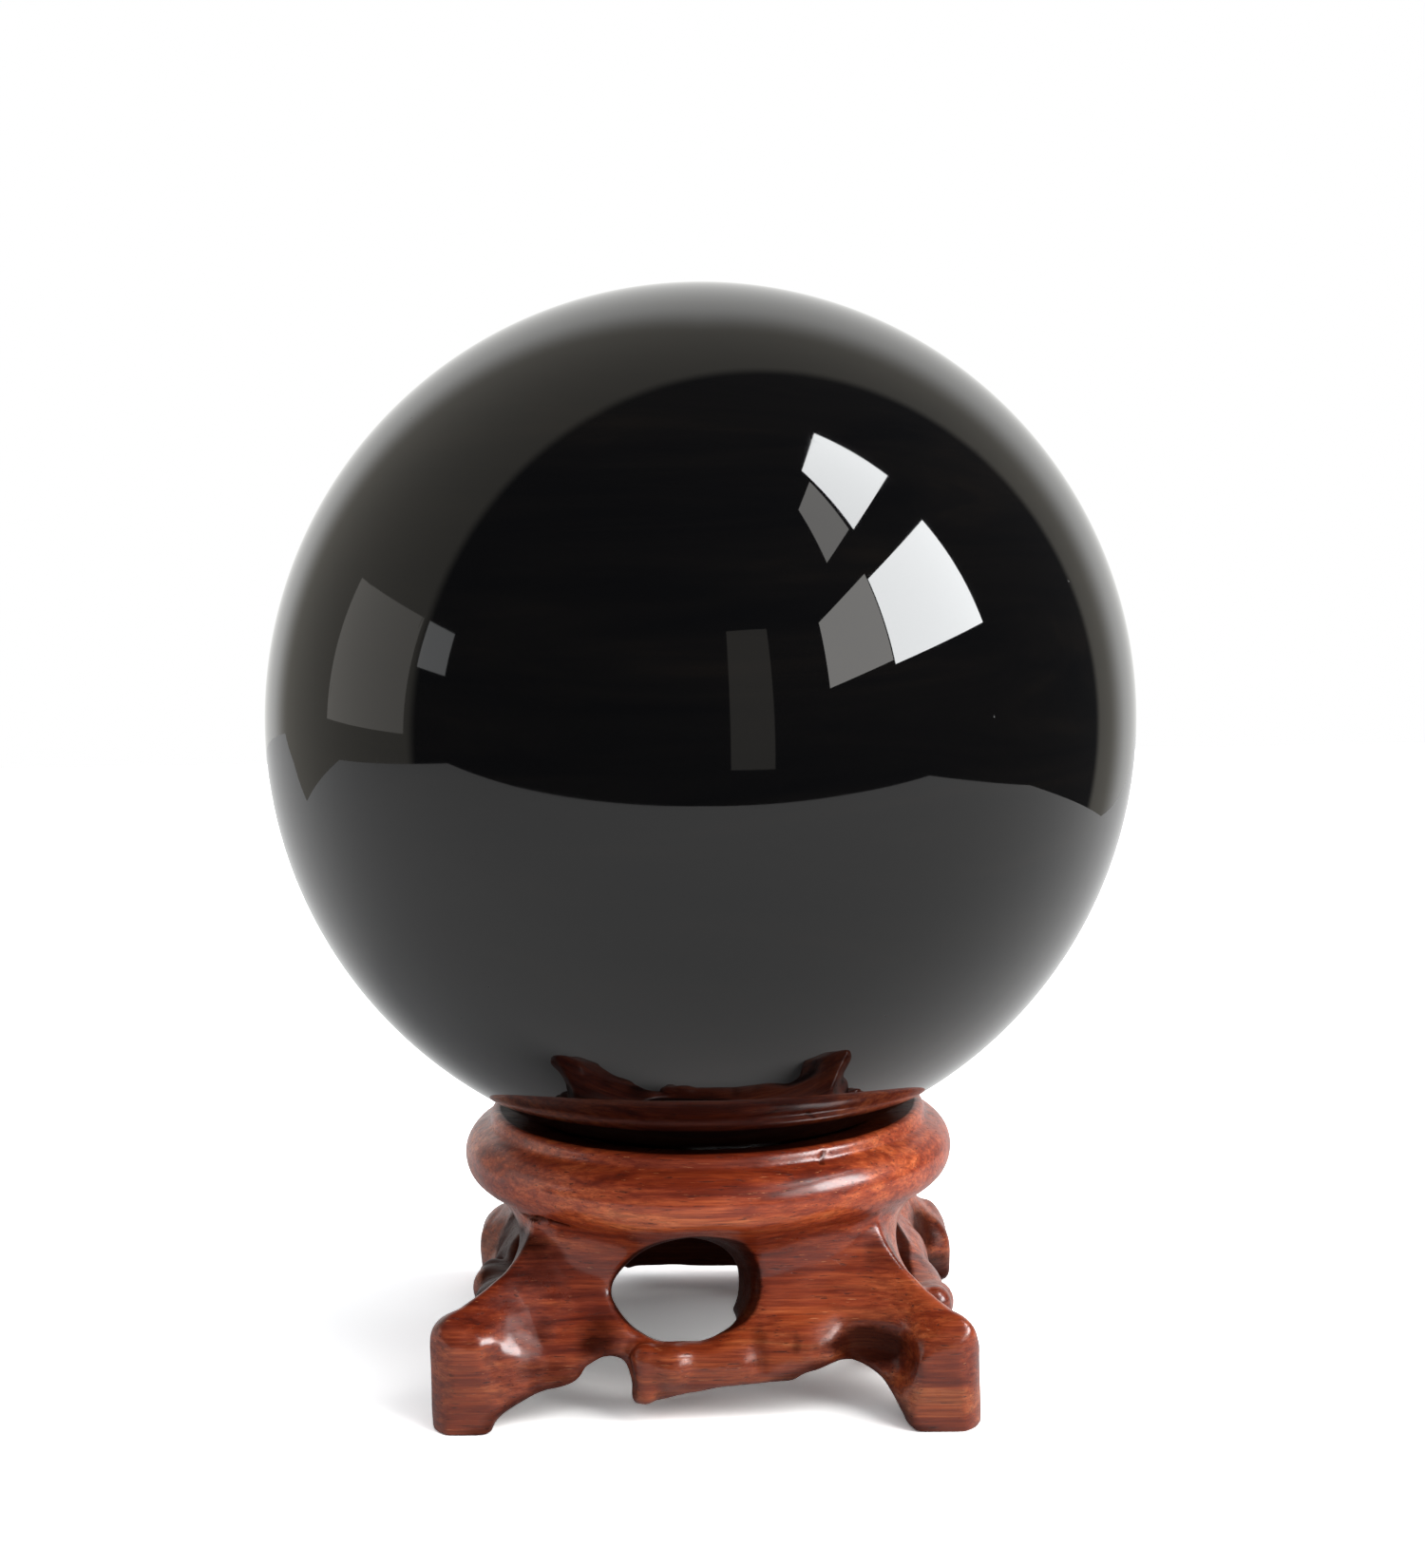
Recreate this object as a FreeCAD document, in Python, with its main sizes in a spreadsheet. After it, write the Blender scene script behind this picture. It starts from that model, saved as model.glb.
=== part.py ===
"""A black crystal ball resting on a turned and carved rosewood stand.

Millimetres, +Z up. The origin is on the surface that the stand rests on, under the
centre of the ball, and -Y is the front. The stand is one piece of wood: a turned ring
and neck on a hollow square block, with a window, two arches and a knob carved in each
side. The ball lies loose on the inner edge of the ring's dished seat.
"""

import FreeCAD, Part
import math
import os
import Sketcher

SIZES = {
    "ball_radius": 50.0,
    "seat_gap": 0.08,  # keeps the loose ball just clear of the seat's edge
    # square block
    "block_half": 30.0,
    "block_height": 11.6,
    "block_corner": 3.0,
    "block_edge": 1.6,
    # turned ring and neck, as radii and heights
    "bore_radius": 17.0,
    "seat_edge_z": 27.5,
    "lip_inner_radius": 24.9,
    "lip_top_z": 29.45,
    "lip_outer_radius": 25.5,
    "lip_outer_z": 28.9,
    "groove_radius": 25.8,
    "groove_z": 27.5,
    "bead_arc": 3.8,
    "bead_foot_radius": 26.0,
    "bead_foot_z": 20.3,
    "step_radius": 24.5,
    "step_z": 19.0,
    "cove_arc": 5.42,
    "neck_radius": 22.1,
    "neck_z": 14.5,
    "flare_arc": 9.0,
    "flare_radius": 29.2,
    "flare_z": 11.4,
    # hollow under the block
    "hollow_half": 22.0,
    "hollow_height": 9.2,
    "hollow_corner": 4.0,
    # carved side, seen from outside: left and right of its middle, and heights
    "foot_left": 23.4,
    "foot_right": 22.0,
    "knob_left": 8.3,
    "knob_right": 4.4,
    "knob_foot_z": 1.7,
    "knob_top_z": 8.0,
    "knob_face": 28.2,
    "knob_depth": 3.2,
    "left_spring_z": 0.9,
    "left_arch_left": 18.0,
    "left_arch_z": 3.9,
    "left_arch_arc": 9.0,
    "notch_left": 13.3,
    "notch_side_z": 5.0,
    "notch_arc": 2.6,
    "bar_left": 1.7,
    "bar_left_z": 3.8,
    "bar_right": 9.0,
    "bar_right_z": 4.2,
    "right_arch_left": 12.6,
    "right_arch_z": 5.8,
    "right_arch_right": 19.6,
    "right_shoulder_z": 3.3,
    "right_arch_arc": 5.2,
    "arch_depth": 12.0,
    # slope between the feet, as distances out from the middle of the stand and heights
    "slope_outside": 31.0,
    "slope_inside": 22.2,
    "slope_top_z": 12.0,
    "slope_clear_z": 14.6,
    "bar_face": 27.2,
    "bar_top_z": 6.8,
    "window_offset": 2.2,
    "window_z": 13.5,
    "window_across": 6.39,  # the four places where its arcs meet, from its centre
    "window_up": 3.3,
    "window_end_arc": 3.8,
    "window_long_arc": 12.84,
    "window_depth": 18.5,
}
SIDE_COUNT = 4
START_OUTSIDE = 1.0  # how far outside the block the side cuts start
ORIGIN_POINT = (-1, 1)  # Sketcher's name for a sketch's own origin
LEAST_CHANGE = 1.0  # mm3, the least that a feature must add or take away
SAME_HEIGHT = 1e-6  # how nearly level an edge must be with the block's top


def make_sheet(doc):
    """Put every driving size in a spreadsheet, one named cell each."""
    sheet = doc.addObject("Spreadsheet::Sheet", "sizes")
    for row, (name, value) in enumerate(SIZES.items(), start=1):
        sheet.set(f"A{row}", name)
        sheet.set(f"B{row}", str(value))
        sheet.setAlias(f"B{row}", name)
    doc.recompute()
    return sheet


def origin_feature(body, role):
    """One of the body's own origin planes or axes."""
    return next(f for f in body.Origin.OriginFeatures if f.Role == role)


def add_sketch(body, name, role):
    """An empty sketch on one of the body's origin planes."""
    sketch = body.newObject("Sketcher::SketchObject", name)
    sketch.AttachmentSupport = [(origin_feature(body, role), "")]
    sketch.MapMode = "FlatFace"
    return sketch


def bind(sketch, constraint, name):
    """Add a dimension and tie it to the named cell of the sheet."""
    index = sketch.addConstraint(constraint)
    sketch.setExpression(f"Constraints[{index}]", f"sizes.{name}")


def coordinate(name):
    """The number behind 'size' or '-size', and 0 for the middle."""
    if not name:
        return 0.0
    return -SIZES[name[1:]] if name[0] == "-" else SIZES[name]


def fix_point(sketch, edge, end, names):
    """Dimension one end of an edge from the sketch's origin, across and up."""
    for kind, name in zip(("DistanceX", "DistanceY"), names):
        if not name:
            on_axis = -2 if kind == "DistanceX" else -1
            sketch.addConstraint(Sketcher.Constraint("PointOnObject", edge, end, on_axis))
        elif name[0] == "-":
            size = SIZES[name[1:]]
            bind(sketch, Sketcher.Constraint(kind, edge, end, *ORIGIN_POINT, size), name[1:])
        else:
            size = SIZES[name]
            bind(sketch, Sketcher.Constraint(kind, *ORIGIN_POINT, edge, end, size), name)


def arc_between(start, end, radius, bulge):
    """The shorter arc from start to end. Bulge is +1 if it bends to the left of the way.

    Sketcher keeps every arc anticlockwise, so an arc that bends left is drawn backwards.
    """
    chord = end - start
    middle = (start + end) * 0.5
    left = FreeCAD.Vector(-chord.y, chord.x, 0).normalize()
    sagitta = radius - math.sqrt(radius**2 - (chord.Length / 2) ** 2)
    first, last = (end, start) if bulge > 0 else (start, end)
    return Part.Arc(first, middle + left * bulge * sagitta, last)


def draw_outline(sketch, steps):
    """Draw a closed outline through named points.

    Each step is (across, up), reached by a line, or (across, up, arc, bulge), reached by
    an arc whose radius is the size called arc.
    """
    corners = [FreeCAD.Vector(coordinate(s[0]), coordinate(s[1]), 0) for s in steps]
    edges = []
    for index, step in enumerate(steps):
        start, end = corners[index - 1], corners[index]
        if len(step) == 2:
            edges.append(sketch.addGeometry(Part.LineSegment(start, end), False))
        else:
            arc = arc_between(start, end, SIZES[step[2]], step[3])
            edges.append(sketch.addGeometry(arc, False))
    ends = [end_at(sketch, edge, corner) for edge, corner in zip(edges, corners)]
    for index, edge in enumerate(edges):
        following = edges[(index + 1) % len(edges)]
        start = end_at(sketch, following, corners[index])
        sketch.addConstraint(Sketcher.Constraint("Coincident", edge, ends[index], following, start))
        fix_point(sketch, edge, ends[index], steps[index][:2])
        if len(steps[index]) > 2:
            name = steps[index][2]
            bind(sketch, Sketcher.Constraint("Radius", edge, SIZES[name]), name)


def end_at(sketch, edge, corner):
    """Which end of the edge, 1 or 2, lies at the corner."""
    first = sketch.Geometry[edge].StartPoint
    last = sketch.Geometry[edge].EndPoint
    return 1 if first.distanceToPoint(corner) < last.distanceToPoint(corner) else 2


def draw_rounded_square(sketch, half, corner):
    """A square about the sketch's origin with its four corners rounded."""
    side, radius = SIZES[half], SIZES[corner]
    flat = side - radius
    diagonal = flat + radius * math.sqrt(0.5)
    lines = []
    arcs = []
    for turn in range(4):
        rotation = FreeCAD.Rotation(FreeCAD.Vector(0, 0, 1), 90 * turn)
        points = [(side, -flat), (side, flat), (diagonal, diagonal), (flat, side)]
        start, end, middle, far = (rotation.multVec(FreeCAD.Vector(x, y, 0)) for x, y in points)
        lines.append(sketch.addGeometry(Part.LineSegment(start, end), False))
        arcs.append(sketch.addGeometry(Part.Arc(end, middle, far), False))
    for turn in range(4):
        following = lines[(turn + 1) % 4]
        sketch.addConstraint(Sketcher.Constraint("Tangent", lines[turn], 2, arcs[turn], 1))
        sketch.addConstraint(Sketcher.Constraint("Tangent", arcs[turn], 2, following, 1))
        direction = "Vertical" if turn % 2 == 0 else "Horizontal"
        sketch.addConstraint(Sketcher.Constraint(direction, lines[turn]))
        kind = "DistanceX" if turn % 2 == 0 else "DistanceY"
        ends = [*ORIGIN_POINT, lines[turn], 1]
        if turn >= 2:
            ends = ends[2:] + ends[:2]
        bind(sketch, Sketcher.Constraint(kind, *ends, side), half)
        if turn:
            sketch.addConstraint(Sketcher.Constraint("Equal", arcs[0], arcs[turn]))
    bind(sketch, Sketcher.Constraint("Radius", arcs[0], radius), corner)


def add_block(doc, body):
    """The square block, with its top edge rounded over."""
    sketch = add_sketch(body, "block_outline", "XY_Plane")
    draw_rounded_square(sketch, "block_half", "block_corner")
    pad = body.newObject("PartDesign::Pad", "block")
    pad.Profile = sketch
    pad.setExpression("Length", "sizes.block_height")
    doc.recompute()
    top = SIZES["block_height"]
    rim = [
        f"Edge{number}"
        for number, edge in enumerate(pad.Shape.Edges, start=1)
        if abs(edge.BoundBox.ZMin - top) < SAME_HEIGHT
    ]
    fillet = body.newObject("PartDesign::Fillet", "block_top_edge")
    fillet.Base = (pad, rim)
    fillet.setExpression("Radius", "sizes.block_edge")
    doc.recompute()


def add_turning(doc, body):
    """The turned ring, its beads and cove, and the neck that flares into the block."""
    sketch = add_sketch(body, "turned_profile", "XZ_Plane")
    draw_outline(
        sketch,
        [
            ("", ""),
            ("", "seat_edge_z"),
            ("bore_radius", "seat_edge_z"),
            ("lip_inner_radius", "lip_top_z"),
            ("lip_outer_radius", "lip_outer_z"),
            ("groove_radius", "groove_z"),
            ("bead_foot_radius", "bead_foot_z", "bead_arc", 1),
            ("step_radius", "step_z"),
            ("neck_radius", "neck_z", "cove_arc", -1),
            ("flare_radius", "flare_z", "flare_arc", -1),
            ("flare_radius", ""),
        ],
    )
    turned = body.newObject("PartDesign::Revolution", "turned_ring")
    turned.Profile = sketch
    turned.ReferenceAxis = (sketch, ["V_Axis"])
    turned.Angle = 360
    doc.recompute()


def add_bore(doc, body):
    """The bore from the seat down through the block, and the hollow under the block."""
    circle = add_sketch(body, "bore_outline", "XY_Plane")
    hole = Part.Circle(FreeCAD.Vector(0, 0, 0), FreeCAD.Vector(0, 0, 1), SIZES["bore_radius"])
    circle.addGeometry(hole, False)
    circle.addConstraint(Sketcher.Constraint("Coincident", 0, 3, *ORIGIN_POINT))
    bind(circle, Sketcher.Constraint("Radius", 0, SIZES["bore_radius"]), "bore_radius")
    bore = body.newObject("PartDesign::Pocket", "bore")
    bore.Profile = circle
    bore.Type = "ThroughAll"
    bore.Reversed = True
    doc.recompute()

    square = add_sketch(body, "hollow_outline", "XY_Plane")
    draw_rounded_square(square, "hollow_half", "hollow_corner")
    hollow = body.newObject("PartDesign::Pocket", "hollow_under")
    hollow.Profile = square
    hollow.setExpression("Length", "sizes.hollow_height")
    hollow.Reversed = True
    doc.recompute()


def side_sketch(body, name):
    """A sketch standing just outside the front face of the block."""
    sketch = add_sketch(body, name, "XZ_Plane")
    sketch.setExpression("AttachmentOffset.Base.z", f"sizes.block_half + {START_OUTSIDE}")
    return sketch


def add_arches(doc, body):
    """The openings under one side: an arch, a notch, the knob's foot and a second arch."""
    sketch = side_sketch(body, "arch_outline")
    draw_outline(
        sketch,
        [
            ("-foot_left", ""),
            ("-foot_left", "left_spring_z"),
            ("-left_arch_left", "left_arch_z", "left_arch_arc", 1),
            ("-notch_left", "notch_side_z"),
            ("-knob_left", "notch_side_z", "notch_arc", 1),
            ("-knob_left", "knob_foot_z"),
            ("-knob_right", "knob_foot_z"),
            ("bar_left", "bar_left_z"),
            ("bar_right", "bar_right_z"),
            ("right_arch_left", "right_arch_z"),
            ("right_arch_right", "right_shoulder_z", "right_arch_arc", 1),
            ("foot_right", ""),
        ],
    )
    arches = body.newObject("PartDesign::Pocket", "arches")
    arches.Profile = sketch
    arches.setExpression("Length", "sizes.arch_depth")
    doc.recompute()
    return arches


def add_slope(doc, body):
    """Cut one side back between its feet: an upright bar, and a slope from it to the neck."""
    sketch = add_sketch(body, "slope_profile", "YZ_Plane")
    sketch.setExpression("AttachmentOffset.Base.z", "sizes.foot_right")
    draw_outline(
        sketch,
        [
            ("-slope_outside", ""),
            ("-slope_outside", "slope_clear_z"),
            ("-slope_inside", "slope_clear_z"),
            ("-slope_inside", "slope_top_z"),
            ("-bar_face", "bar_top_z"),
            ("-bar_face", ""),
        ],
    )
    slope = body.newObject("PartDesign::Pocket", "side_slope")
    slope.Profile = sketch
    slope.setExpression("Length", "sizes.foot_left + sizes.foot_right")
    doc.recompute()
    return slope


def add_knob(doc, body):
    """The knob that stands out from the bar near the middle of one side."""
    sketch = add_sketch(body, "knob_outline", "XZ_Plane")
    sketch.setExpression("AttachmentOffset.Base.z", "sizes.knob_face")
    draw_outline(
        sketch,
        [
            ("-knob_left", "knob_foot_z"),
            ("-knob_left", "knob_top_z"),
            ("-knob_right", "knob_top_z"),
            ("-knob_right", "knob_foot_z"),
        ],
    )
    knob = body.newObject("PartDesign::Pad", "knob")
    knob.Profile = sketch
    knob.Reversed = True
    knob.setExpression("Length", "sizes.knob_depth")
    doc.recompute()
    return knob


def add_window(doc, body):
    """The oval window through one side, drawn with four arcs that meet smoothly."""
    sketch = side_sketch(body, "window_outline")
    sketch.setExpression("AttachmentOffset.Base.x", "-sizes.window_offset")
    sketch.setExpression("AttachmentOffset.Base.y", "sizes.window_z")
    draw_outline(
        sketch,
        [
            ("-window_across", "-window_up", "window_end_arc", -1),
            ("window_across", "-window_up", "window_long_arc", -1),
            ("window_across", "window_up", "window_end_arc", -1),
            ("-window_across", "window_up", "window_long_arc", -1),
        ],
    )
    window = body.newObject("PartDesign::Pocket", "window")
    window.Profile = sketch
    window.setExpression("Length", "sizes.window_depth")
    doc.recompute()
    return window


def make_stand(doc):
    """The one-piece stand. The front side's carving is repeated on all four sides."""
    body = doc.addObject("PartDesign::Body", "stand_body")
    body.Label = "stand"
    add_block(doc, body)
    add_turning(doc, body)
    add_bore(doc, body)
    carvings = [add_slope(doc, body), add_knob(doc, body)]
    carvings += [add_window(doc, body), add_arches(doc, body)]
    pattern = body.newObject("PartDesign::PolarPattern", "four_sides")
    pattern.Originals = carvings
    pattern.Axis = (origin_feature(body, "Z_Axis"), [""])
    pattern.Angle = 360
    pattern.Occurrences = SIDE_COUNT
    body.Tip = pattern
    body.Placement = FreeCAD.Placement()
    doc.recompute()
    return body


def make_ball(doc):
    """The solid ball, lying on the inner edge of the seat."""
    ball = doc.addObject("Part::Sphere", "ball_solid")
    ball.Label = "ball"
    ball.setExpression("Radius", "sizes.ball_radius")
    drop = "sqrt(sizes.ball_radius ^ 2 - sizes.bore_radius ^ 2)"
    ball.setExpression("Placement.Base.z", f"sizes.seat_edge_z + {drop} + sizes.seat_gap")
    doc.recompute()
    return ball


def check(doc, nodes):
    """Stop on a failed feature, one that changed nothing, or a bad shape."""
    for item in doc.Objects:
        if {"Invalid", "Error"} & set(item.State):
            raise RuntimeError(f"{item.Name} failed: {item.State}")
    before = 0.0
    for feature in doc.getObject("stand_body").Group:
        if not feature.isDerivedFrom("PartDesign::Feature"):
            continue
        volume = feature.Shape.Volume
        if abs(volume - before) < LEAST_CHANGE:
            raise RuntimeError(f"{feature.Name} changed nothing")
        print(f"{feature.Name}: {volume - before:+.0f} mm3")
        before = volume
    for node in nodes:
        shape = node.Shape
        if shape.isNull() or not shape.isValid() or len(shape.Solids) != 1:
            raise RuntimeError(f"{node.Label} isn't one valid solid")
        box = shape.BoundBox
        print(f"{node.Label}: {shape.Volume:.0f} mm3, z {box.ZMin:.2f} to {box.ZMax:.2f}")


def main():
    doc = FreeCAD.newDocument("crystal_ball")
    make_sheet(doc)
    nodes = [make_stand(doc), make_ball(doc)]
    doc.recompute()
    check(doc, nodes)
    os.makedirs("parts", exist_ok=True)
    for node in nodes:
        node.Shape.exportStep(f"parts/{node.Label}.step")


main()
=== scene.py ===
"""The looks of a black crystal ball on a carved rosewood stand.

The frame gives each piece its place and size. The stand is carved here from one solid:
a signed field in millimetres, negative inside the wood, is added to and cut away like the
real block, and then meshed. Everything else is in metres, +Z up, with -Y as the front.
"""

import math

import bpy
import numpy as np
from mathutils import Matrix, Vector


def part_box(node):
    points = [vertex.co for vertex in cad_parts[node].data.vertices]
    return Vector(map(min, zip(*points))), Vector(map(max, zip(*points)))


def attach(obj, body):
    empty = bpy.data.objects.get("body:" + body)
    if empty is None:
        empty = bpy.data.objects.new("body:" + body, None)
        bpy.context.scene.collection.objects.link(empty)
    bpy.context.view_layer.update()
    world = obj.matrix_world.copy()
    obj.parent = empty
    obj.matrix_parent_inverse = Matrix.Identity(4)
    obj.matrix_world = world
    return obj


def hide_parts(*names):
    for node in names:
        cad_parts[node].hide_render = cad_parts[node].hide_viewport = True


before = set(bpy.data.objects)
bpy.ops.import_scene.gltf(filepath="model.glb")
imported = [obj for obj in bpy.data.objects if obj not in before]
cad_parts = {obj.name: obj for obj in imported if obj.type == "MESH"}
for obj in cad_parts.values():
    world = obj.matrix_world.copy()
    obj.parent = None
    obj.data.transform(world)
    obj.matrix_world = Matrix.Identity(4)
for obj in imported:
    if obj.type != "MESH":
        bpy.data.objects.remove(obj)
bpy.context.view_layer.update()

MM = 0.001
SEED = 7

# The camera and the studio stand a little to the right of the stand's own front.
TURN = Matrix.Rotation(math.radians(1.5), 4, "Z")


# ---------------------------------------------------------------- sizes from the frame

stand_low, stand_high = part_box("stand")
ball_low, ball_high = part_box("ball")
BALL_CENTRE = (ball_low + ball_high) / 2
BALL_RADIUS = min(ball_high - ball_low) / 2

BLOCK_HALF = (stand_high.x - stand_low.x) / 2 / MM
LIP_TOP = stand_high.z / MM

# The stand's other sizes, in millimetres. The section of its ring is in radius and height.
BORE_RADIUS = 16.6
SEAT_RADIUS = 20.4
SEAT_GAP = 0.16
LIP_INNER_RADIUS = 24.4
LIP_RADIUS = 25.35
STEP_UNDER_LIP = [(25.6, 27.95), (25.95, 27.7)]
BEAD_END = (26.0, 20.75)
BEAD_BULGE = 2.5
NECK_START = (25.3, 20.15)
NECK_HOLLOW = -0.35
NECK_RADIUS = 21.6
NECK_Z = 14.8
NECK_TOP = 20.6
NECK_SQUARENESS = 5.0
SKIRT_TOP = 12.9
SKIRT_FALL = 1.05
CORNER_CUT = 1.15
HOLLOW_HALF = 22.0
HOLLOW_CORNER = 27.8
HOLLOW_TOP = 8.8


# ---------------------------------------------------------------- fields to carve with


def smooth_min(a, b, k):
    """The lower of two fields, blended over a width of about k."""
    mix = np.clip(0.5 + 0.5 * (b - a) / k, 0, 1)
    return b * (1 - mix) + a * mix - k * mix * (1 - mix)


def smooth_max(a, b, k):
    """The higher of two fields, blended over a width of about k."""
    return -smooth_min(-a, -b, k)


def smoothstep(low, high, value):
    """0 at low and 1 at high, with soft ends. It falls where low is above high."""
    x = np.clip((value - low) / (high - low), 0, 1)
    return x * x * (3 - 2 * x)


def ellipsoid(p, centre, radii):
    """Distance to an ellipsoid, good near its surface."""
    q = p - np.array(centre, np.float32)
    radii = np.array(radii, np.float32)
    near = np.linalg.norm(q / radii, axis=-1)
    steep = np.linalg.norm(q / radii**2, axis=-1)
    return near * (near - 1) / np.maximum(steep, 1e-6)


def capsule(p, start, end, start_radius, end_radius):
    """A rounded stick that may taper."""
    start = np.array(start, np.float32)
    way = np.array(end, np.float32) - start
    q = p - start
    along = np.clip(q @ way / (way @ way), 0, 1)
    radius = start_radius + (end_radius - start_radius) * along
    return np.linalg.norm(q - along[..., None] * way, axis=-1) - radius


def slanted_hole(p, centre, way, across, half_width, half_height):
    """An oval tunnel through centre along way, with its width across."""
    q = p - np.array(centre, np.float32)
    way = np.array(way, np.float32) / np.linalg.norm(way)
    across = np.array(across, np.float32)
    across = across - way * (across @ way)
    across /= np.linalg.norm(across)
    up = np.cross(across, way)
    x = (q @ across) / half_width
    y = (q @ up) / half_height
    near = np.sqrt(x * x + y * y)
    steep = np.sqrt((x / half_width) ** 2 + (y / half_height) ** 2)
    return near * (near - 1) / np.maximum(steep, 1e-6)


class Outline:
    """The signed distance to a closed outline in a plane, kept as a fine table."""

    STEP = 0.1
    MARGIN = 4.0

    def __init__(self, points):
        points = np.array(points, np.float64)
        self.low = points.min(0) - self.MARGIN
        size = points.max(0) + self.MARGIN - self.low
        count = np.ceil(size / self.STEP).astype(int) + 1
        a = self.low[0] + np.arange(count[0]) * self.STEP
        b = self.low[1] + np.arange(count[1]) * self.STEP
        grid = np.stack(np.meshgrid(a, b, indexing="ij"), -1)
        nearest = np.full(grid.shape[:2], np.inf)
        inside = np.zeros(grid.shape[:2], bool)
        for start, end in zip(points, np.roll(points, -1, 0)):
            way = end - start
            along = np.clip((grid - start) @ way / (way @ way), 0, 1)
            off = grid - start - along[..., None] * way
            nearest = np.minimum(nearest, (off**2).sum(-1))
            if start[1] != end[1]:
                crosses = (start[1] > grid[..., 1]) != (end[1] > grid[..., 1])
                at = start[0] + (grid[..., 1] - start[1]) * way[0] / way[1]
                inside ^= crosses & (grid[..., 0] < at)
        self.table = (np.where(inside, -1, 1) * np.sqrt(nearest)).astype(np.float32)

    def distance(self, a, b):
        """The signed distance at across a and up b, read between the table's points."""
        x = np.clip((a - self.low[0]) / self.STEP, 0, self.table.shape[0] - 1.001)
        y = np.clip((b - self.low[1]) / self.STEP, 0, self.table.shape[1] - 1.001)
        i, j = x.astype(np.int32), y.astype(np.int32)
        x, y = x - i, y - j
        t = self.table
        low = t[i, j] * (1 - x) + t[i + 1, j] * x
        high = t[i, j + 1] * (1 - x) + t[i + 1, j + 1] * x
        return (low * (1 - y) + high * y).astype(np.float32)


class Noise:
    """Smooth repeatable noise from -1 to 1, in lumps of a given size."""

    CELLS = 32

    def __init__(self, seed):
        self.values = np.random.default_rng(seed).uniform(-1, 1, (self.CELLS,) * 3).astype(np.float32)

    def __call__(self, p, lump):
        """The noise at each point, in lumps of that size."""
        q = p / lump
        base = np.floor(q).astype(np.int32)
        f = (q - base).astype(np.float32)
        f = f * f * f * (f * (f * 6 - 15) + 10)
        i0, i1 = base % self.CELLS, (base + 1) % self.CELLS
        total = 0
        for corner in range(8):
            bits = (corner & 1, corner >> 1 & 1, corner >> 2 & 1)
            index = [np.where(b, i1[..., k], i0[..., k]) for k, b in enumerate(bits)]
            weight = 1
            for k, b in enumerate(bits):
                weight = weight * (f[..., k] if b else 1 - f[..., k])
            total = total + weight * self.values[tuple(index)]
        return total


def arc_points(start, end, bulge, count):
    """Points after start along an arc to end that stands bulge to the left of the way."""
    start, end = np.array(start, float), np.array(end, float)
    chord = end - start
    length = np.hypot(*chord)
    left = np.array([-chord[1], chord[0]]) / length
    radius = (length**2 / 4 + bulge**2) / (2 * bulge)
    centre = (start + end) / 2 + left * (bulge - radius)
    first = math.atan2(*(start - centre)[::-1])
    turn = math.atan2(*(end - centre)[::-1]) - first
    turn = (turn + math.pi) % (2 * math.pi) - math.pi
    angles = first + turn * np.arange(1, count + 1) / count
    return [tuple(centre + abs(radius) * np.array([math.cos(a), math.sin(a)])) for a in angles]


def smooth_outline(points, count):
    """A closed curve through the points, with count steps from each to the next."""
    points = np.array(points, float)
    out = []
    for i in range(len(points)):
        a, b, c, d = (points[(i + k) % len(points)] for k in (-1, 0, 1, 2))
        for step in range(count):
            t = step / count
            out.append(
                0.5
                * (
                    2 * b
                    + (c - a) * t
                    + (2 * a - 5 * b + 4 * c - d) * t**2
                    + (3 * b - a - 3 * c + d) * t**3
                )
            )
    return out


# ---------------------------------------------------------------- the stand


def seat_point(radius):
    """A point of the dished seat, which lies just clear of the ball."""
    reach = BALL_RADIUS / MM + SEAT_GAP
    return radius, BALL_CENTRE.z / MM - math.sqrt(reach**2 - radius**2)


def ring_outline():
    """Half of the turned ring and neck in section, as radius and height."""
    points = [(BORE_RADIUS, NECK_Z - 6)]
    points += [seat_point(radius) for radius in np.linspace(BORE_RADIUS, SEAT_RADIUS, 8)]
    points += [(LIP_INNER_RADIUS, LIP_TOP - 0.12)]
    points += arc_points(points[-1], (LIP_RADIUS, LIP_TOP - 0.6), 0.2, 8)
    points += STEP_UNDER_LIP
    points += arc_points(points[-1], BEAD_END, BEAD_BULGE, 26)
    points += [NECK_START]
    points += arc_points(points[-1], (NECK_RADIUS, NECK_Z), NECK_HOLLOW, 16)
    points += [(NECK_RADIUS, NECK_Z - 6)]
    return Outline(points)


RING = ring_outline()
LUMPS = Noise(SEED)
LUMP_SIZE = 6.5
CHIPS = Noise(SEED + 1)
CHIP_SIZE = 2.6

# Each corner's leg: which way it stands, and the height of its foot's top.
LEGS = [((-1, -1), 12.1), ((1, -1), 11.9), ((1, 1), 9.4), ((-1, 1), 9.2)]

# The lower edge of each side, seen from outside: across from its middle, and up.
ARCH_EDGE = [
    (-23.8, -2.0),
    (-23.4, 0.4),
    (-22.0, 1.9),
    (-18.0, 3.9),
    (-14.2, 4.9),
    (-12.9, 6.3),
    (-11.2, 7.0),
    (-9.3, 6.4),
    (-8.5, 4.4),
    (-8.2, 2.2),
    (-6.9, 1.6),
    (-4.5, 2.0),
    (-1.6, 3.0),
    (1.7, 3.8),
    (5.4, 3.9),
    (9.0, 4.2),
    (11.2, 5.4),
    (14.2, 6.2),
    (17.2, 5.4),
    (20.2, 3.2),
    (21.9, 0.6),
    (22.3, -2.0),
]

# What differs from side to side, in the order front, right, back, left: how far the carving
# strays from the front's, across and up, how high the lower edge goes between the feet, and
# half the window's width.
SIDES = range(4)
RIGHT = 1
SIDE_SHIFTS = [(0.0, 0.0), (-1.2, 0.1), (0.67, -0.11), (0.82, -0.15)]
EDGE_TOPS = [9.0, 9.0, 2.5, 9.0]
WINDOW_HALF_WIDTHS = [7.2, 6.6, 7.2, 7.2]

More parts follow.
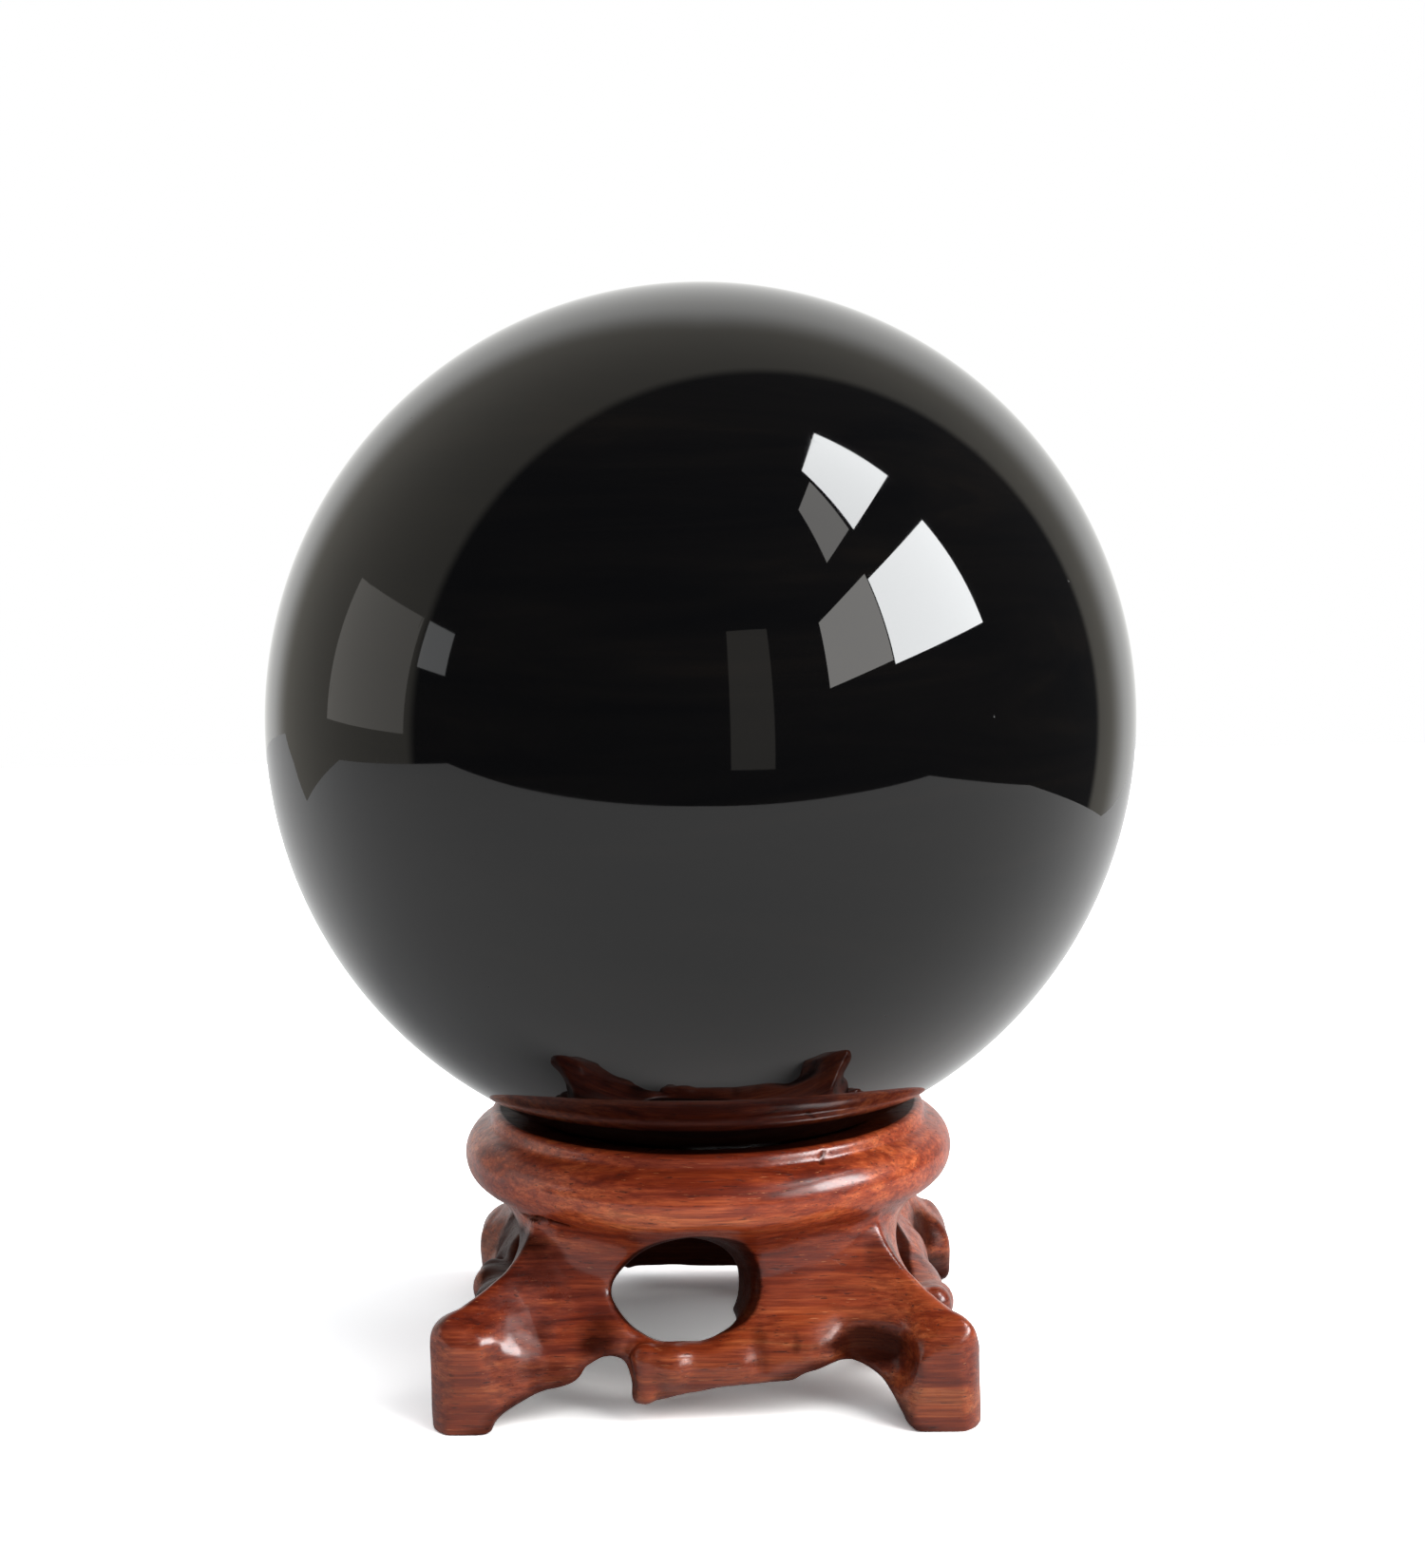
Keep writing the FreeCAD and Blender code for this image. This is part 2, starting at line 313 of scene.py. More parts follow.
# The lower edge is held under its top within EDGE_REACH of EDGE_MIDDLE. From FEET_FROM
# outwards its points belong to the feet.
EDGE_MIDDLE = 1.5
EDGE_REACH = 11
FEET_FROM = 20
BELOW_FLOOR = -6.0
CURVE_STEPS = 6


def arch_outline(side):
    """What is cut away under one side: the feet stay in place, and the rest strays."""
    shift, _ = SIDE_SHIFTS[side]
    edge = []
    for across, up in ARCH_EDGE:
        if abs(across - EDGE_MIDDLE) < EDGE_REACH:
            up = min(up, EDGE_TOPS[side])
        if abs(across) < FEET_FROM:
            across = across + shift
        edge.append((across, up))
    curve = smooth_outline(edge, CURVE_STEPS)[: CURVE_STEPS * (len(edge) - 1) + 1]
    return Outline(curve + [(edge[-1][0], BELOW_FLOOR), (edge[0][0], BELOW_FLOOR)])


ARCHES = [arch_outline(side) for side in SIDES]


def squareness(p, power):
    """How far out a point is, measured on squares with rounded corners."""
    return (np.abs(p[..., 0]) ** power + np.abs(p[..., 1]) ** power) ** (1 / power)


# The ridge along each leg: how far out, and how high.
RIDGE = [
    (17, 20),
    (19, 18.6),
    (20, 17.6),
    (21.8, 15.7),
    (23.75, 14.0),
    (26.2, 12.5),
    (28, 12),
    (31, 11.8),
]


def top_of_block(p):
    """The height of the carved top: a skirt round the neck, and a ridge out to each foot."""
    x, y = p[..., 0], p[..., 1]
    outer = np.maximum(np.abs(x), np.abs(y))
    inner = np.minimum(np.abs(x), np.abs(y))
    along = (outer + inner) / 2
    beside = np.sqrt((outer - inner) ** 2 / 2 + 0.25) - 0.5
    foot = 0
    for (east, north), top in LEGS:
        share = np.clip(0.5 + 0.5 * east * x / 12, 0, 1) * np.clip(0.5 + 0.5 * north * y / 12, 0, 1)
        foot = foot + share * top
    ridge = np.interp(along, *zip(*RIDGE))
    ridge = ridge + (foot - 12) * smoothstep(20, 28, along)
    fall = np.interp(along, [22, 27], [1.3, 0.6])
    skirt = SKIRT_TOP - SKIRT_FALL * (outer - NECK_RADIUS)
    return smooth_max(ridge - fall * beside, skirt, 1.6).astype(np.float32)


def facing_side(x, y, side):
    """A point's x and y as they stand when that side is turned to the front."""
    return [(x, y), (y, -x), (-x, -y), (-y, x)][side]


# The oval window slants down and to the left on its way in.
WINDOW_CENTRE = (-1.65, -23.0, 13.9)
WINDOW_WAY = (-0.34, 0.93, -0.28)
WINDOW_ACROSS = (1, 0.36, 0.03)
WINDOW_HALF_HEIGHT = 5.5

# The rest of one side's carving, as it stands in front. An ellipsoid has its centre and
# half sizes, and a stick has its two ends and the radius at each.
SCOOP = (16.2, -28.0, 7.8), (4.7, 3.9, 3.4)
KNOB = (-6.6, -26.2, 7.1), (-6.4, -26.6, 3.2), 1.85, 1.7
BAR = (-4.6, -25.3, 6.4), (6.4, -25.0, 6.3), 2.3, 2.2
BUMP = (-3.8, -25.7, 6.2), (2.9, 2.9, 2.9)
GNARL = (10.9, -23.6, 7.0), (3.6, 2.2, 3.0)
DENT = (6.4, -28.5, 7.8), (1.2, 1.7, 2.8)
CREASE = (9.2, -26.7, 9.9), (10.3, -27.1, 7.4), 0.5, 0.4
RECESS_MIDDLE = -0.7
RECESS_HALF = 22.7
RECESS_TOP = 16.5

# How far in each cut goes: a place on the front's Y axis, where the stand's middle is 0.
WINDOW_ENDS = -10
ARCH_ENDS = -12
CARVING_ENDS = 6


def window_tunnel(q, side):
    """The field of one side's window."""
    half_width = WINDOW_HALF_WIDTHS[side]
    return slanted_hole(q, WINDOW_CENTRE, WINDOW_WAY, WINDOW_ACROSS, half_width, WINDOW_HALF_HEIGHT)


def carve_side(wood, p, side):
    """Cut one side's recess, window and arches, and add its knob and bar. p faces that side."""
    across, up = SIDE_SHIFTS[side]
    x = p[..., 0] - across
    q = np.stack([x, p[..., 1], p[..., 2] - up], -1)

    depth = (2.9 + 1.5 * smoothstep(3, 8, q[..., 2])) * (1 - 0.3 * smoothstep(-7, -15, x))
    softness = 4.6 + 2.4 * smoothstep(4, -14, x)
    recess = np.abs(x - RECESS_MIDDLE) - RECESS_HALF
    recess = smooth_max(recess, q[..., 1] + BLOCK_HALF - depth, softness)
    recess = smooth_max(recess, q[..., 2] - RECESS_TOP, 2.0)
    wood = smooth_max(wood, -recess, 2.0)
    if side != RIGHT:
        wood = smooth_max(wood, -ellipsoid(q, *SCOOP), 2.4)

    wood = smooth_min(wood, capsule(q, *KNOB), 1.0)
    wood = smooth_min(wood, capsule(q, *BAR), 2.2)
    wood = smooth_min(wood, ellipsoid(q, *BUMP), 0.7)
    wood = smooth_min(wood, ellipsoid(q, *GNARL), 2.6)
    wood = smooth_max(wood, -ellipsoid(q, *DENT), 1.5)
    wood = smooth_max(wood, -capsule(q, *CREASE), 0.8)

    wood = smooth_max(wood, -np.maximum(window_tunnel(q, side), q[..., 1] - WINDOW_ENDS), 1.8)

    arch = ARCHES[side].distance(p[..., 0], p[..., 2])
    return smooth_max(wood, -np.maximum(arch, p[..., 1] - ARCH_ENDS), 1.3)


# Dark patches on each side, in its scoops and creases: partly stain, partly painted shade. Across and
# up, how far it reaches, and how dark.
STAIN_AND_SHADE_POOLS = [
    ((17.8, 8.0), (7.6, 4.2), 1.0),
    ((-11.6, 9.0), (4.2, 3.8), 0.8),
    ((6.0, 7.8), (1.9, 3.8), 0.56),
    ((9.9, 8.6), (1.1, 2.2), 0.52),
    ((-17.4, 6.4), (5.0, 2.4), 0.46),
    ((-17.6, 10.2), (2.7, 2.8), 0.55),
    ((-18.6, 16.6), (6.4, 5.0), 0.5),
]

# Painted shade over each side's whole recess: front, right, back, left. Below 0 the darkening there is
# taken off instead, as painted light on the lit side.
RECESS_PAINTED_LIGHT_AND_SHADE = [0.0, -0.75, 0.1, 0.85]
# Stain and painted shade along the arches' edges, and painted shade inside the window tunnels.
ARCH_EDGE_STAIN_AND_SHADE = 0.62
TUNNEL_PAINTED_SHADE = 0.95


def add_stain_and_painted_light(p, stain_and_shade):
    """The darkness at each point, from 0 to 1, with each side's painted light, painted shade and stain
    added: a darker recess on the left and a lighter one on the right as painted shade and light, stain
    and painted shade in the scoops and along the arches, and painted shade inside the window.
    """
    for side in SIDES:
        x, y = facing_side(p[:, 0], p[:, 1], side)
        z = p[:, 2]
        on_side = smoothstep(-16, -18, y)
        # The recess takes the side's painted shade; a weight below 0 lightens it instead, as painted
        # light.
        recess = smoothstep(-28.4, -26.8, y) * smoothstep(22.6, 19.0, np.abs(x)) * smoothstep(21, 18, z)
        recess = recess * on_side
        stain_and_shade = stain_and_shade * (1 + min(RECESS_PAINTED_LIGHT_AND_SHADE[side], 0) * recess)
        stain_and_shade = np.maximum(stain_and_shade, RECESS_PAINTED_LIGHT_AND_SHADE[side] * recess)

        # Stain and painted shade along the arch edges and in the pools.
        stain_and_shade_patches = smoothstep(4, 9, np.abs(x + 1)) * ARCH_EDGE_STAIN_AND_SHADE
        stain_and_shade_patches = stain_and_shade_patches * smoothstep(2.6, 0.2, ARCHES[side].distance(x, z))
        for (across, up), (wide, high), dark in STAIN_AND_SHADE_POOLS:
            away = np.hypot((x - across) / wide, (z - up) / high)
            stain_and_shade_patches = np.maximum(stain_and_shade_patches, dark * smoothstep(1.15, 0.1, away))
        # The walls inside the window are painted dark: painted shade.
        tunnel = window_tunnel(np.stack([x, y, z], -1), side)
        inside = smoothstep(1.0, 0.3, tunnel) * smoothstep(-24.6, -23.2, y)
        stain_and_shade_patches = np.maximum(stain_and_shade_patches, TUNNEL_PAINTED_SHADE * inside)
        stain_and_shade = np.maximum(stain_and_shade, stain_and_shade_patches * on_side)
    return stain_and_shade


# Small flaws in the ring: a crack in two lengths under the bead, and a nick in the lip.
FLAWS = [
    ((-20.2, -17.6, 20.7), (-17.8, -20.3, 21.1), 0.12, 0.32),
    ((-17.0, -20.9, 20.95), (-15.0, -21.8, 20.7), 0.3, 0.12),
    ((13.3, -21.8, 28.7), (13.0, -22.6, 27.9), 0.2, 0.28),
]


def flaws(p):
    """Distance to the nearest small flaw."""
    return np.minimum.reduce([capsule(p, *flaw) for flaw in FLAWS])


def wood_field(p):
    """Negative inside the wood, in millimetres."""
    x, y, z = p[..., 0], p[..., 1], p[..., 2]
    out = np.hypot(x, y)

    sides = np.maximum(np.abs(x), np.abs(y)) - BLOCK_HALF
    corners = (np.abs(x) + np.abs(y)) * math.sqrt(0.5) - (BLOCK_HALF - CORNER_CUT) * math.sqrt(2)
    block = smooth_max(sides, corners, 1.2)
    block = smooth_max(block, (z - top_of_block(p)) * 0.8, 2.2)

    neck = smooth_max(squareness(p, NECK_SQUARENESS) - NECK_RADIUS, z - NECK_TOP, 1.5)
    wood = smooth_min(block, neck, 2.6)
    wood = smooth_min(wood, RING.distance(out, z), 1.8)

    hollow_side = np.maximum(np.abs(x), np.abs(y)) - HOLLOW_HALF
    hollow_corner = (np.abs(x) + np.abs(y)) * math.sqrt(0.5) - HOLLOW_CORNER
    hollow = smooth_max(smooth_max(hollow_side, hollow_corner, 3), z - HOLLOW_TOP, 3)
    wood = smooth_max(wood, -hollow, 1.5)
    wood = smooth_max(wood, BORE_RADIUS - out, 0.15)

    for side in SIDES:
        q = np.stack([*facing_side(x, y, side), z], -1)
        facing = q[..., 1] < CARVING_ENDS
        wood[facing] = carve_side(wood[facing], q[facing], side)

    carved = smoothstep(19, 12, z)
    wood = wood + LUMPS(p, LUMP_SIZE) * (0.045 + 0.38 * carved)
    wood = wood + CHIPS(p, CHIP_SIZE) * (0.02 + 0.10 * carved)
    wood = smooth_max(wood, -flaws(p), 0.35)
    wood = smooth_max(wood, 0.02 - z, 0.3)
    return smooth_max(wood, sides + 0.05, 0.25)


def gradient(p, reach=0.06):
    """The direction in which the field grows, at each point."""
    out = np.empty_like(p)
    for axis in range(3):
        step = np.zeros(3, np.float32)
        step[axis] = reach
        out[..., axis] = (wood_field(p + step) - wood_field(p - step)) / (2 * reach)
    return out


def surface_nets(field, low, step):
    """Points and four-sided faces on the surface where the field is zero."""
    cells = np.array(field.shape) - 1
    flat = np.array([cells[1] * cells[2], cells[2], 1])
    total = np.zeros((3, int(np.prod(cells))))
    count = np.zeros(int(np.prod(cells)))
    quads = []
    for axis in range(3):
        a = np.moveaxis(field, axis, 0)[:-1]
        b = np.moveaxis(field, axis, 0)[1:]
        found = np.argwhere((a < 0) != (b < 0))
        va, vb = a[tuple(found.T)], b[tuple(found.T)]
        others = [k for k in range(3) if k != axis]
        edge = np.empty((len(found), 3), int)
        edge[:, axis] = found[:, 0]
        edge[:, others[0]] = found[:, 1]
        edge[:, others[1]] = found[:, 2]
        place = edge.astype(float)
        place[:, axis] += va / (va - vb)
        inner = ((edge[:, others] > 0) & (edge[:, others] < cells[others])).all(1)
        edge, place, va = edge[inner], place[inner], va[inner]
        around = []
        for back in ((0, 0), (1, 0), (1, 1), (0, 1)):
            cell = edge.copy()
            cell[:, others[0]] -= back[0]
            cell[:, others[1]] -= back[1]
            index = cell @ flat
            for k in range(3):
                total[k] += np.bincount(index, place[:, k], len(count))
            count += np.bincount(index, minlength=len(count))
            around.append(index)
        faces = np.stack(around, 1)
        forward = (va < 0) == (axis != 1)
        faces[~forward] = faces[~forward][:, ::-1]
        quads.append(faces)
    used = np.flatnonzero(count)
    number = np.full(len(count), -1)
    number[used] = np.arange(len(used))
    points = (total[:, used] / count[used]).T * step + low
    return points.astype(np.float32), number[np.concatenate(quads)]


def mesh_object(name, points, faces):
    """A smooth-shaded object of points in metres and faces that all have the same number of corners."""
    mesh = bpy.data.meshes.new(name)
    mesh.vertices.add(len(points))
    mesh.vertices.foreach_set("co", np.asarray(points, np.float32).ravel())
    mesh.loops.add(faces.size)
    mesh.loops.foreach_set("vertex_index", faces.ravel().astype(np.int32))
    mesh.polygons.add(len(faces))
    mesh.polygons.foreach_set("loop_start", np.arange(len(faces), dtype=np.int32) * faces.shape[1])
    mesh.update(calc_edges=True)
    mesh.validate()
    mesh.shade_smooth()
    obj = bpy.data.objects.new(name, mesh)
    bpy.context.scene.collection.objects.link(obj)
    return obj


# The grid's step in millimetres, and how many of its layers are worked out at a time.
FINE_STEP = 0.32
SLAB = 16


def pulled_onto_surface(points, step):
    """The points moved to where the field is zero, in a few short moves along its slope."""
    for _ in range(3):
        slope = gradient(points)
        size = np.maximum((slope**2).sum(-1), 0.05)
        move = slope * (wood_field(points) / size)[:, None]
        reach = np.linalg.norm(move, axis=1, keepdims=True)
        points = points - move * np.minimum(1, 0.4 * step / np.maximum(reach, 1e-9))
    return points


def stain_and_painted_shade_at(points):
    """How dark each point is painted, from 0 to 1: painted shade deep in hollows, on inner faces and
    under the ball, with stain and the dark of the cracks; bare on open faces.
    """
    slope = gradient(points)
    slope /= np.maximum(np.linalg.norm(slope, axis=1, keepdims=True), 1e-6)
    # Darker the more the wood closes in round a point, worked out like ambient occlusion: painted shade
    # in the hollows, standing in for stain gathered there too.
    stain_and_painted_shade = 0
    for reach in (0.7, 1.4, 2.8, 5.6):
        stain_and_painted_shade = stain_and_painted_shade + np.clip(1 - wood_field(points + slope * reach) / reach, 0, 1) / 4
    out = np.linalg.norm(points[:, :2], axis=1)
    radial = points[:, :2] / np.maximum(out, 1)[:, None]
    # Low inner faces that look in towards the middle are painted dark: painted shade inside the stand.
    painted_inner_shade = smoothstep(0.1, 0.6, -(slope[:, :2] * radial).sum(1)) * smoothstep(26, 24, points[:, 2])
    stain_and_painted_shade = np.maximum(stain_and_painted_shade, painted_inner_shade)
    stain_and_painted_shade = add_stain_and_painted_light(points, stain_and_painted_shade)
    # The seat and the lip's top under the ball are painted dark: the ball's shadow, painted.
    painted_ball_shadow = smoothstep(LIP_INNER_RADIUS + 0.4, LIP_INNER_RADIUS - 0.4, out)
    stain_and_painted_shade = np.maximum(stain_and_painted_shade, painted_ball_shadow * smoothstep(24, 25, points[:, 2]))
    return np.maximum(stain_and_painted_shade, 0.7 * smoothstep(0.5, 0.0, flaws(points)))


def make_stand():
    """Mesh the carved field, pull the points onto it, and note how much painted shade and stain each
    one gets.
    """
    step = FINE_STEP
    margin = 1.5 * step
    low = np.array([-BLOCK_HALF - margin, -BLOCK_HALF - margin, -margin])
    high = np.array([BLOCK_HALF + margin, BLOCK_HALF + margin, LIP_TOP + margin])
    axes = [np.arange(a, b + step, step, dtype=np.float32) for a, b in zip(low, high)]
    field = np.empty([len(a) for a in axes], np.float32)
    for i in range(0, len(axes[0]), SLAB):
        slab = np.stack(np.meshgrid(axes[0][i : i + SLAB], axes[1], axes[2], indexing="ij"), -1)
        field[i : i + SLAB] = wood_field(slab)
    points, faces = surface_nets(field, low, step)
    points = pulled_onto_surface(points, step)
    obj = mesh_object("carved_stand", points * MM, faces)
    mark = obj.data.attributes.new("stain_and_painted_shade", "FLOAT", "POINT")
    mark.data.foreach_set("value", stain_and_painted_shade_at(points).astype(np.float32))
    return obj


# ---------------------------------------------------------------- the ball


def make_ball():
    """A ground sphere: a cube's grid blown up so that every point lies on the sphere."""
    per_edge = 96
    side = np.tan(np.linspace(-1, 1, per_edge + 1) * math.pi / 4)
    a, b = np.meshgrid(side, side, indexing="ij")
    one = np.ones_like(a)
    points, faces = [], []
    grid = np.arange(a.size).reshape(a.shape)
    quad = np.stack([grid[:-1, :-1], grid[1:, :-1], grid[1:, 1:], grid[:-1, 1:]], -1).reshape(-1, 4)
    for turn in ((one, a, b), (-one, b, a), (b, one, a), (a, -one, b), (a, b, one), (b, a, -one)):
        start = sum(len(p) for p in points)
        cube = np.stack(turn, -1).reshape(-1, 3)
        points.append(cube / np.linalg.norm(cube, axis=1, keepdims=True))
        faces.append(quad + start)
    points = np.concatenate(points)
    faces = np.concatenate(faces)
    _, first, same = np.unique(np.round(points, 6), axis=0, return_index=True, return_inverse=True)
    points, faces = points[first], same.reshape(-1)[faces]
    return mesh_object("polished_ball", points * BALL_RADIUS + np.array(BALL_CENTRE), faces)


# ---------------------------------------------------------------- materials


class Nodes:
    """Shorthand for building a node tree."""

    def __init__(self, tree):
        self.tree = tree
        tree.nodes.clear()

    def add(self, kind, inputs=None, **settings):
        node = self.tree.nodes.new(kind)
        for name, value in settings.items():
            setattr(node, name, value)
        for key, value in (inputs or {}).items():
            if isinstance(value, bpy.types.NodeSocket):
                self.tree.links.new(value, node.inputs[key])
            else:
                node.inputs[key].default_value = value
        return node

    def math(self, operation, a, b=0.0, c=0.0):
        """One sum of up to three values or sockets."""
        return self.add("ShaderNodeMath", {0: a, 1: b, 2: c}, operation=operation).outputs[0]

    def ramp(self, factor, stops):
        """A colour that runs through the stops, each a place and a colour."""
        node = self.add("ShaderNodeValToRGB", {"Fac": factor})
        ramp = node.color_ramp
        while len(ramp.elements) < len(stops):
            ramp.elements.new(0.5)
        for element, (place, colour) in zip(ramp.elements, stops):
            element.position = place
            element.color = (*colour, 1) if len(colour) == 3 else colour
        return node.outputs["Color"]

    def remap(self, value, low, high, to_low=0.0, to_high=1.0, smooth=False):
        """The value's low to high made into to_low to to_high, and held at those ends."""
        kind = "SMOOTHSTEP" if smooth else "LINEAR"
        inputs = {"Value": value, 1: low, 2: high, 3: to_low, 4: to_high}
        return self.add("ShaderNodeMapRange", inputs, interpolation_type=kind).outputs["Result"]

    def mix(self, factor, a, b, blend="MIX"):
        """Colour a with b laid over it by the factor."""
        node = self.add("ShaderNodeMix", data_type="RGBA", blend_type=blend)
        for socket, value in ((node.inputs[0], factor), (node.inputs[6], a), (node.inputs[7], b)):
            if isinstance(value, bpy.types.NodeSocket):
                self.tree.links.new(value, socket)
            else:
                socket.default_value = value
        return node.outputs[2]

    def noise(self, vector, detail, rough, distortion=0.0):
        """Noise in lumps of about 1 in the vector's own units."""
        inputs = {"Vector": vector, "Scale": 1.0, "Detail": detail, "Roughness": rough}
        inputs["Distortion"] = distortion
        return self.add("ShaderNodeTexNoise", inputs).outputs["Fac"]

    def stretched(self, size, turn=(0, 0, 0)):
        """Object coordinates divided by a size in millimetres along each axis."""
        where = self.add("ShaderNodeTexCoord").outputs["Object"]
        scale = tuple(1 / (s * MM) for s in size)
        inputs = {"Vector": where, "Scale": scale, "Rotation": turn}
        return self.add("ShaderNodeMapping", inputs, vector_type="POINT").outputs["Vector"]


def srgb(*levels):
    """A screen colour of 0 to 255 as linear light."""
    out = []
    for level in levels:
        level = level / 255
        out.append(level / 12.92 if level < 0.04045 else ((level + 0.055) / 1.055) ** 2.4)
    return (*out, 1.0)


def rosewood():
    """Reddish rosewood under satin lacquer: level grain, dark streaks, open pores."""
    material = bpy.data.materials.new("rosewood")
    material.use_nodes = True
    n = Nodes(material.node_tree)
    tilt = (0.0, math.radians(1.5), math.radians(4))
    figure = n.noise(n.stretched((34, 11, 5.5), tilt), 3.0, 0.55, 0.6)
    streak = n.noise(n.stretched((24, 1.5, 0.75), tilt), 6.0, 0.66, 0.25)
    fibre = n.noise(n.stretched((11, 0.55, 0.3), tilt), 5.0, 0.7, 0.2)
    mixed = n.math("MULTIPLY_ADD", figure, 0.5, n.math("MULTIPLY", streak, 0.5))
    colour = n.ramp(
        mixed,
        [
            (0.34, srgb(80, 24, 11)),
            (0.43, srgb(126, 46, 23)),
            (0.50, srgb(156, 66, 34)),
            (0.58, srgb(184, 90, 50)),
            (0.70, srgb(214, 128, 80)),
        ],
    )
    colour = n.mix(n.remap(fibre, 0.42, 0.60, 0.0, 0.55), colour, srgb(92, 27, 10))

    pores = n.noise(n.stretched((2.6, 0.34, 0.2), tilt), 2.0, 0.5)
    pore = n.remap(pores, 0.64, 0.70, 0.0, 1.0, smooth=True)
    colour = n.mix(n.math("MULTIPLY", pore, 0.65), colour, srgb(38, 12, 6))

    scuffs = n.noise(n.stretched((3.4, 0.5, 0.17), tilt), 3.0, 0.6)
    scuff = n.remap(scuffs, 0.66, 0.74, 0.0, 0.55, smooth=True)
    colour = n.mix(scuff, colour, srgb(226, 152, 104))

    # The colour darkens towards the floor and is lighter on the turned ring.
    where = n.add("ShaderNodeTexCoord").outputs["Object"]
    above_floor = n.add("ShaderNodeSeparateXYZ", {"Vector": where}).outputs["Z"]
    up = n.math("DIVIDE", above_floor, LIP_TOP * MM)
    tone = n.ramp(
        up,
        [
            (0.20, (0.74, 0.72, 0.70)),
            (0.42, (1.0, 0.98, 0.95)),
            (0.62, (1.0, 0.98, 0.95)),
            (0.75, (1.32, 1.26, 1.2)),
        ],
    )
    colour = n.mix(1.0, colour, tone, "MULTIPLY")

    # The attribute carries painted shade in the hollows and inside, the ball's shadow painted on the
    # seat, stain and the cracks' dark. Its dark colour is laid on here, and the lacquer's reflections
    # are dimmed where it is dark, as painted shade on them.
    stain_and_painted_shade = n.add("ShaderNodeAttribute", attribute_name="stain_and_painted_shade").outputs["Fac"]
    blotch = n.noise(n.stretched((5.5, 3.2, 2.2)), 5.0, 0.65)
    blotched_stain_and_shade = n.math("MULTIPLY_ADD", n.math("SUBTRACT", blotch, 0.5), 0.8, stain_and_painted_shade)
    stain_and_shade = n.remap(blotched_stain_and_shade, 0.26, 0.78, 0.0, 0.9)
    colour = n.mix(stain_and_shade, colour, srgb(38, 12, 7))
    shine = n.remap(stain_and_shade, 0.15, 0.85, 1.0, 0.1)

    smudge = n.noise(n.stretched((4, 4, 4)), 5.0, 0.62)
    rough = n.math("ADD", n.remap(smudge, 0.3, 0.7, 0.26, 0.44), n.math("MULTIPLY", pore, 0.25))
    height = n.math("MULTIPLY_ADD", fibre, 0.5, n.math("MULTIPLY", pore, -0.8))
    height = n.math("MULTIPLY_ADD", smudge, 1.0, height)
    bump = n.add("ShaderNodeBump", {"Height": height, "Strength": 0.5, "Distance": 0.14 * MM})
    shader = n.add(
        "ShaderNodeBsdfPrincipled",
        {
            "Base Color": colour,
            "Roughness": rough,
            "Normal": bump.outputs["Normal"],
            "IOR": 1.45,
            "Specular IOR Level": n.math("MULTIPLY", shine, 0.22),
            "Coat Weight": n.math("MULTIPLY", shine, 0.24),
            "Coat Roughness": 0.19,
            "Coat IOR": 2.0,
        },
    )
    n.add("ShaderNodeOutputMaterial", {"Surface": shader.outputs["BSDF"]})
    return material


def obsidian():
    """Black volcanic glass: a mirror polish with faint flow bands, hairlines and pinholes."""
    material = bpy.data.materials.new("obsidian")
    material.use_nodes = True
    n = Nodes(material.node_tree)
    bands = n.noise(n.stretched((60, 34, 7), (0.35, 0.2, 0)), 4.0, 0.6, 1.2)
    colour = n.ramp(bands, [(0.35, srgb(6, 6, 7)), (0.55, srgb(10, 9, 9)), (0.75, srgb(17, 14, 12))])

    pinholes = n.add(
        "ShaderNodeTexVoronoi",
        {"Vector": n.stretched((7, 7, 7)), "Scale": 1.0, "Randomness": 1.0},
        feature="F1",
    ).outputs["Distance"]
    pinhole = n.remap(pinholes, 0.012, 0.022, 1.0, 0.0, smooth=True)
    hairs = n.noise(n.stretched((14, 0.5, 9), (0.5, 0.9, 0.4)), 2.0, 0.7, 0.6)
    hair = n.remap(hairs, 0.72, 0.76, 0.0, 1.0, smooth=True)
    haze = n.noise(n.stretched((18, 18, 18)), 5.0, 0.65)
    rough = n.remap(haze, 0.35, 0.75, 0.012, 0.05)
    rough = n.math("MULTIPLY_ADD", hair, 0.05, rough)
    rough = n.math("MULTIPLY_ADD", pinhole, 0.4, rough)
    wave = n.noise(n.stretched((11, 11, 11)), 2.0, 0.4)
    height = n.math("MULTIPLY_ADD", pinhole, -1.0, n.math("MULTIPLY", wave, 0.05))
    height = n.math("MULTIPLY_ADD", hair, -0.02, height)
    bump = n.add("ShaderNodeBump", {"Height": height, "Strength": 0.5, "Distance": 0.05 * MM})
    shader = n.add(
        "ShaderNodeBsdfPrincipled",
        {
            "Base Color": colour,
            "Roughness": rough,
            "Normal": bump.outputs["Normal"],
            "IOR": 1.46,
        },
    )
    n.add("ShaderNodeOutputMaterial", {"Surface": shader.outputs["BSDF"]})
    return material


def paper():
    """The pale floor: a white sheet to look at, a little greyer in what it lends to the object."""
    material = bpy.data.materials.new("pale_floor")
    material.use_nodes = True
    n = Nodes(material.node_tree)
    path = n.add("ShaderNodeLightPath")
    lends = n.mix(path.outputs["Is Diffuse Ray"], (0.82, 0.82, 0.82, 1), (0.5, 0.5, 0.5, 1))
    colour = n.mix(path.outputs["Is Camera Ray"], lends, (2.2, 2.2, 2.2, 1))
    shader = n.add("ShaderNodeBsdfDiffuse", {"Color": colour})
    n.add("ShaderNodeOutputMaterial", {"Surface": shader.outputs["BSDF"]})
    return material


# ---------------------------------------------------------------- studio


